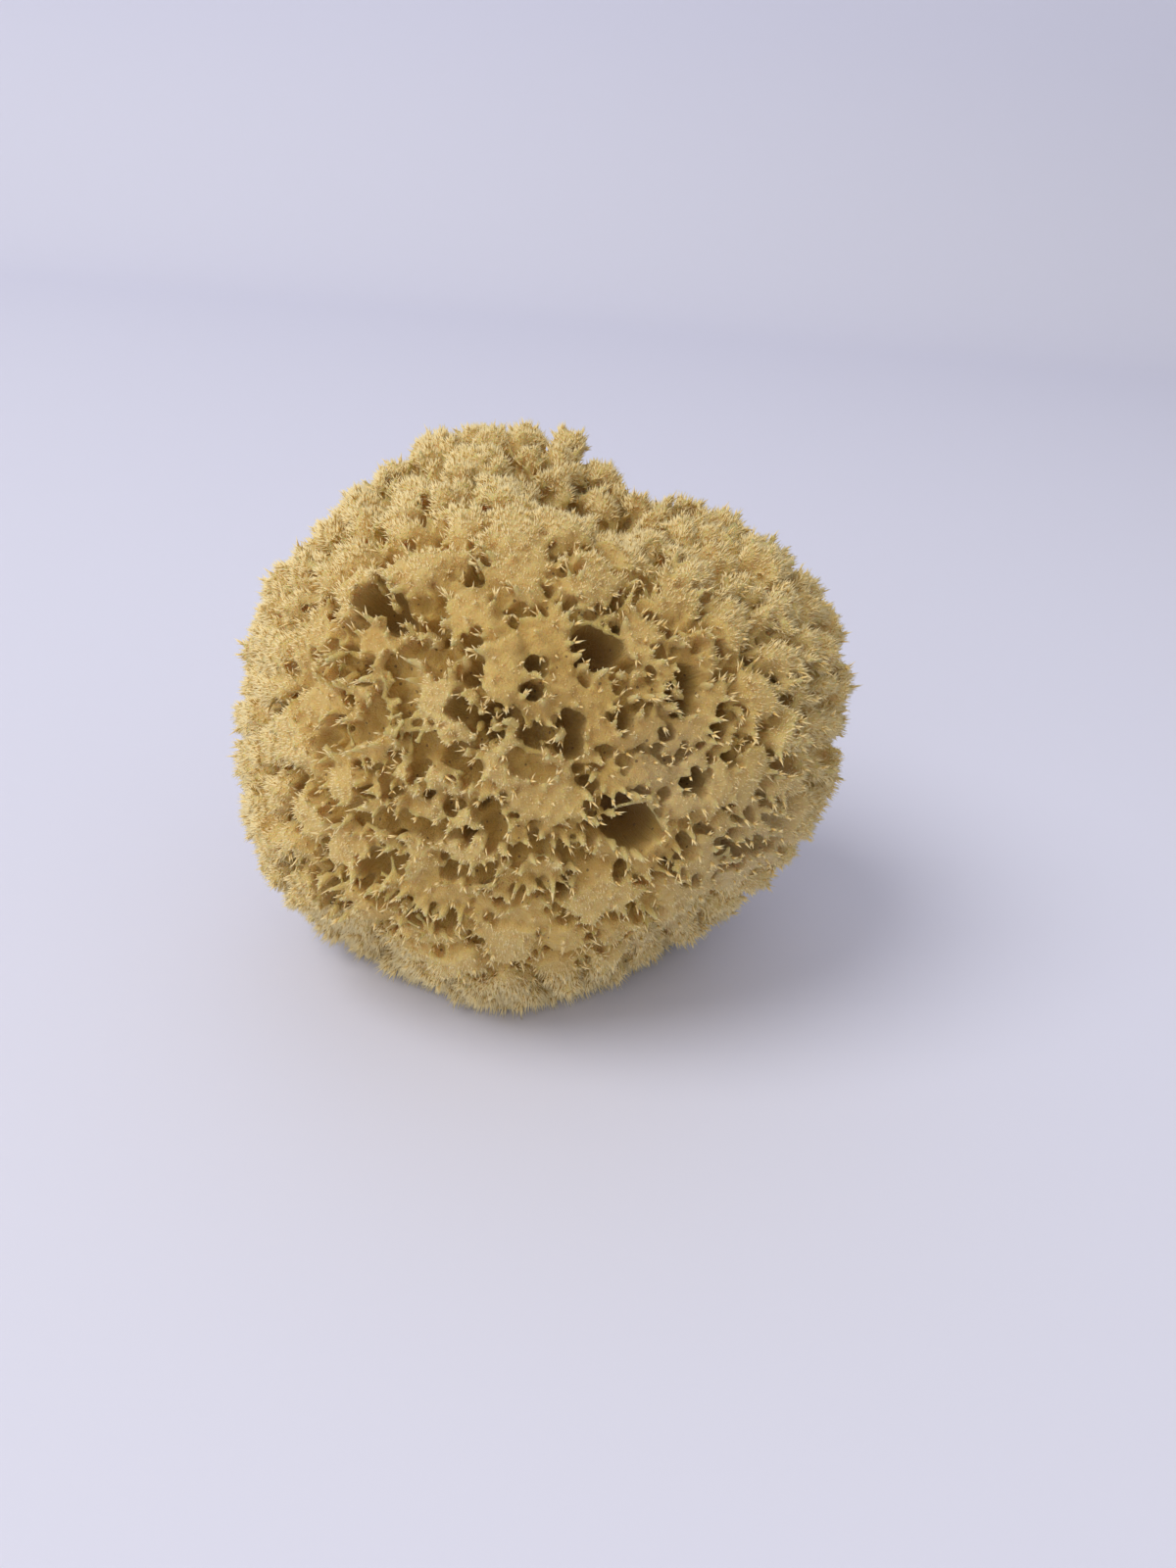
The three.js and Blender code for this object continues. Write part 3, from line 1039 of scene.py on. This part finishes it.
PALE_TIP = (0.94, 0.81, 0.49)
STRAW_TIP = (0.92, 0.75, 0.39)
OCHRE_TIP = (0.82, 0.60, 0.25)
CREAM = (0.91, 0.70, 0.32)
PALE_STRAW = (0.88, 0.67, 0.29)
STRAW = (0.82, 0.59, 0.22)
HONEY = (0.75, 0.50, 0.155)
OCHRE = (0.67, 0.42, 0.10)
# painted shade: the colours that the deepest pore floors darken to
PORE_SHADE_BROWN = (0.48, 0.27, 0.055)
PORE_SHADE_UMBER = (0.31, 0.155, 0.025)
GREY = (0.50, 0.40, 0.25)
# painted shade for the tiny holes in the floors
PINHOLE_SHADE = (0.16, 0.08, 0.03)


def sponge_skin():
    """Cream on the tops through straw and ochre, the sponge's own colours, to brown and umber floors
    that are painted shade, darker with depth. With blotches, painted shade for tiny holes, and felt.
    """
    f = Finish("sponge_skin")
    place = f.add("ShaderNodeTexCoord").outputs["Object"]
    deep = f.add("ShaderNodeAttribute", attribute_name="deep").outputs["Fac"]
    worn = f.add("ShaderNodeAttribute", attribute_name="worn").outputs["Fac"]
    # cream tips and straw and ochre walls are the sponge's own colour; brown and umber deeper down are
    # painted shade
    ramp = f.ramp(
        f.maths("MULTIPLY", f.maths("ADD", deep, 2.5), 1 / 16.5, clamp=True),
        [(0.0, CREAM), (0.13, STRAW), (0.24, HONEY), (0.42, OCHRE), (0.7, PORE_SHADE_BROWN), (1.0, PORE_SHADE_UMBER)],
    )
    blotch = f.add("ShaderNodeTexNoise", Scale=90.0, Detail=4.0)
    f.link(place, blotch.inputs["Vector"])
    blotches = f.ramp(blotch.outputs["Fac"], [(0.3, (0.84, 0.80, 0.76)), (0.7, (1.08, 1.08, 1.06))])
    colour = f.mix(ramp, blotches, 0.8, "MULTIPLY")
    colour = f.mix(colour, GREY, f.maths("MULTIPLY", worn, 0.45))
    # painted shade: dark dots stand for the tiny holes in the smooth floors
    cells = f.add("ShaderNodeTexVoronoi", Scale=420.0, Randomness=1.0)
    f.link(place, cells.inputs["Vector"])
    pin = f.maths("LESS_THAN", cells.outputs["Distance"], 0.13)
    floors = f.maths("GREATER_THAN", deep, 1.5)
    pinhole_shade = f.maths("MULTIPLY", f.maths("MULTIPLY", pin, floors), 0.7)
    colour = f.mix(colour, PINHOLE_SHADE, pinhole_shade)
    f.link(colour, f.shader.inputs["Base Color"])
    f.shader.inputs["Roughness"].default_value = 0.95
    f.shader.inputs["Specular IOR Level"].default_value = 0.08
    f.shader.inputs["Sheen Weight"].default_value = 0.25
    f.shader.inputs["Sheen Roughness"].default_value = 0.6
    f.shader.inputs["Sheen Tint"].default_value = (1.0, 0.86, 0.6, 1)
    f.shader.inputs["Subsurface Weight"].default_value = 0.5
    f.shader.inputs["Subsurface Radius"].default_value = (1.0, 0.6, 0.25)
    f.shader.inputs["Subsurface Scale"].default_value = 0.004
    # felt grain, and streaks that run out from the heart as a brush's bristles do
    felt = f.add("ShaderNodeTexNoise", Scale=1700.0, Detail=4.0, Roughness=0.75)
    f.link(place, felt.inputs["Vector"])
    away = f.add("ShaderNodeVectorMath", operation="SUBTRACT")
    away.inputs[1].default_value = HEART.tolist()
    f.link(place, away.inputs[0])
    course = f.add("ShaderNodeVectorMath", operation="NORMALIZE")
    f.link(away.outputs[0], course.inputs[0])
    streaks = f.add("ShaderNodeTexNoise", Scale=95.0, Detail=2.0, Roughness=0.6)
    f.link(course.outputs[0], streaks.inputs["Vector"])
    grain = f.maths("ADD", f.maths("MULTIPLY", felt.outputs["Fac"], 0.8), streaks.outputs["Fac"])
    bump = f.add("ShaderNodeBump", Strength=1.0, Distance=0.0012)
    f.link(grain, bump.inputs["Height"])
    f.link(bump.outputs["Normal"], f.shader.inputs["Normal"])
    return f.material


def spine_finish():
    """Straw or ochre at the foot, as the skin is there, darker where the nap's map carries painted
    shade, and pale at the tip.
    """
    f = Finish("spines")
    strand = f.add("ShaderNodeUVMap", uv_map="OFBake").outputs["UV"]
    across, up, _ = f.parts_of(strand)
    foot = f.ramp(across, [(0.05, PALE_STRAW), (0.45, HONEY), (0.95, OCHRE)])
    tip = f.ramp(across, [(0.05, PALE_TIP), (0.45, STRAW_TIP), (0.95, OCHRE_TIP)])
    colour = f.mix(foot, tip, f.ramp(up, [(0.1, (0, 0, 0)), (0.85, (1, 1, 1))]))
    f.link(colour, f.shader.inputs["Base Color"])
    f.shader.inputs["Roughness"].default_value = 0.95
    f.shader.inputs["Specular IOR Level"].default_value = 0.05
    return f.material


skin_material = sponge_skin()
for ob in skins:
    ob.data.materials.clear()
    ob.data.materials.append(skin_material)
    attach(ob, "root")
    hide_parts("sponge")
spine_material = spine_finish()
for ob in spines:
    ob.data.materials.append(spine_material)
    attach(ob, "root")


# ------------------------------------------------------------------ the stage
def stage():
    """A pale sheet: flat under the sponge, then bent up into a wall behind it."""
    near, straight, bend, wall = -1.6, 1.15, 0.35, 2.2  # where it starts and bends, radius, height
    flat_share, bend_share = 0.45, 0.2  # of the sheet's run; the wall has the rest
    bpy.ops.object.select_all(action="DESELECT")
    bpy.ops.mesh.primitive_grid_add(x_subdivisions=2, y_subdivisions=60, size=1)
    floor = bpy.context.object
    floor.name = "floor"
    co = coords(floor)
    run = co[:, 1] + 0.5
    y = np.where(run < flat_share, near + run / flat_share * (straight - near), straight)
    turn = np.clip((run - flat_share) / bend_share, 0, 1) * math.pi / 2
    y = y + np.where(run > flat_share, bend * np.sin(turn), 0)
    up_wall = np.clip(run - flat_share - bend_share, 0, 1) / (1 - flat_share - bend_share)
    z = np.where(run > flat_share, bend * (1 - np.cos(turn)), 0) + up_wall * wall
    put(floor, np.stack([co[:, 0] * 8, y, z], 1))
    only(floor)
    bpy.ops.object.shade_smooth()
    f = Finish("pale_floor")
    f.shader.inputs["Base Color"].default_value = (0.71, 0.72, 0.86, 1)
    f.shader.inputs["Roughness"].default_value = 0.8
    floor.data.materials.append(f.material)


def light(name, at, to, size, watts, colour):
    """A round soft lamp at one place that looks at another."""
    data = bpy.data.lights.new(name, "AREA")
    data.shape = "DISK"
    data.size = size
    data.energy = watts
    data.color = colour
    lamp = bpy.data.objects.new(name, data)
    bpy.context.collection.objects.link(lamp)
    lamp.location = at
    lamp.rotation_mode = "QUATERNION"
    lamp.rotation_quaternion = (Vector(to) - Vector(at)).to_track_quat("-Z", "Y")


def camera():
    """Looks down at the sponge from in front, held a little turned."""
    middle = Vector((0, 0, 0.058))
    tilt, roll, far = math.radians(25), math.radians(4.1), 0.272
    back = Vector((0, -math.cos(tilt), math.sin(tilt)))
    right, up = Vector((1, 0, 0)), Vector((0, math.sin(tilt), math.cos(tilt)))
    right2 = math.cos(roll) * right + math.sin(roll) * up
    up2 = math.cos(roll) * up - math.sin(roll) * right
    eye = middle + back * far
    aim = middle + right2 * 0.0102 - up2 * 0.0166
    data = bpy.data.cameras.new("camera")
    data.lens = 27
    data.sensor_width = 36
    data.clip_start, data.clip_end = 0.01, 20
    cam = bpy.data.objects.new("camera", data)
    bpy.context.collection.objects.link(cam)
    forward = (aim - eye).normalized()
    side = (right2 - forward * right2.dot(forward)).normalized()
    over = side.cross(forward)
    turn = Matrix((side, over, -forward)).transposed()
    cam.matrix_world = Matrix.Translation(eye) @ turn.to_4x4()
    bpy.context.scene.camera = cam


camera()
stage()
light("high_left", (-1.6, -0.8, 2.3), (0, 0, 0.05), 1.8, 46, (1.0, 0.98, 0.94))
light("front_fill", (-0.4, -1.0, 0.5), (0, 0, 0.05), 0.9, 2.7, (0.97, 0.97, 1.0))
world = bpy.data.worlds.new("room")
bpy.context.scene.world = world
world.use_nodes = True
world.node_tree.nodes["Background"].inputs["Color"].default_value = (1.0, 0.975, 0.94, 1)
world.node_tree.nodes["Background"].inputs["Strength"].default_value = 0.50
bpy.context.scene.view_settings.view_transform = "Standard"
